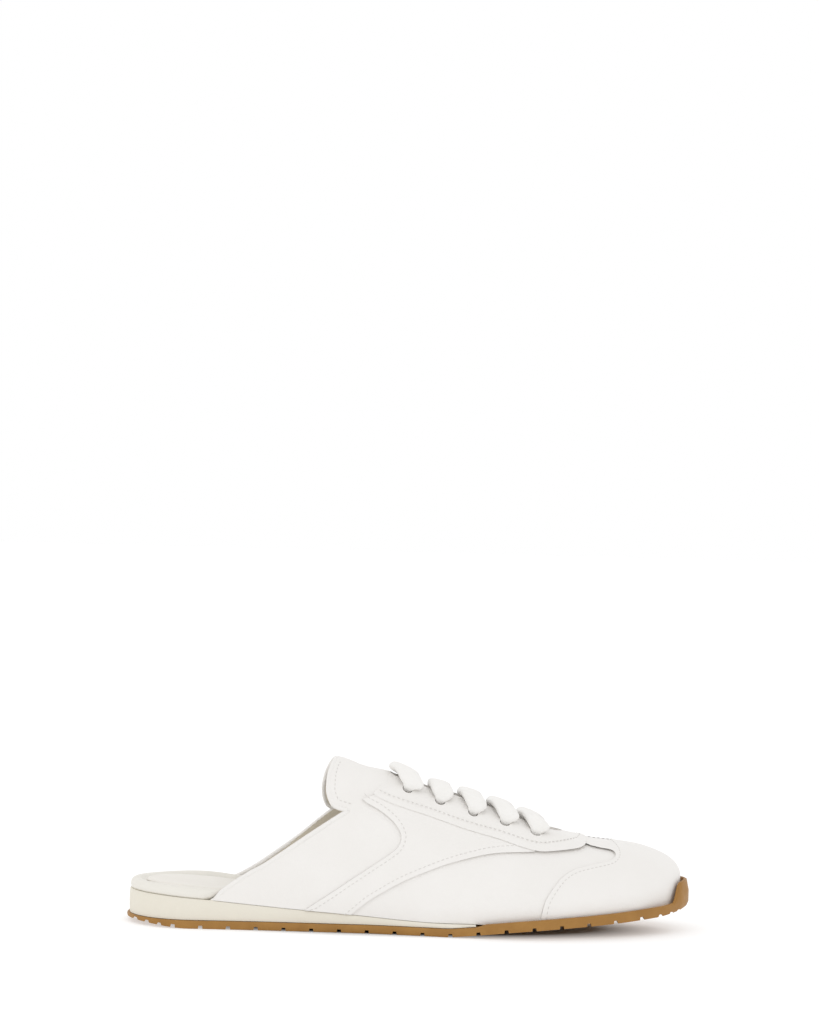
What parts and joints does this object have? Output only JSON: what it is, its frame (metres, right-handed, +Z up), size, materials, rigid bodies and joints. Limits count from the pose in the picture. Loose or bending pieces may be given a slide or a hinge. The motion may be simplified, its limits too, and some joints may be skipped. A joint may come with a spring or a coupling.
{
  "type": "sneaker mule",
  "caption": "Open-heeled leather sneaker mule with a laced vamp, toe cap, cream foam wedge and grooved gum rubber outsole.",
  "frame": {"origin": "middle of the bounding box's floor", "axes": "+X along the shoe towards the toe, -Y towards the outer (lateral) side, +Y towards the inner (medial) side, +Z up"},
  "size_m": [0.27, 0.0901, 0.08],
  "materials": {
    "white_leather": "smooth, softly shining",
    "footbed_leather": "smooth",
    "sock_lining": "matte",
    "lace": "matte",
    "cream_foam": "matte",
    "gum": "matte"
  },
  "bodies": {
    "root": {"outsole": "gum", "midsole": "cream_foam", "footbed": "footbed_leather", "insole": "sock_lining", "upper": "white_leather", "side_panel_lateral": "white_leather", "side_panel_medial": "white_leather", "eyestay": "white_leather", "toe_cap": "white_leather", "tongue": "white_leather", "lace_bar_1": "lace", "lace_bar_2": "lace", "lace_bar_3": "lace", "lace_bar_4": "lace", "lace_bar_5": "lace"}
  },
  "joints": []
}
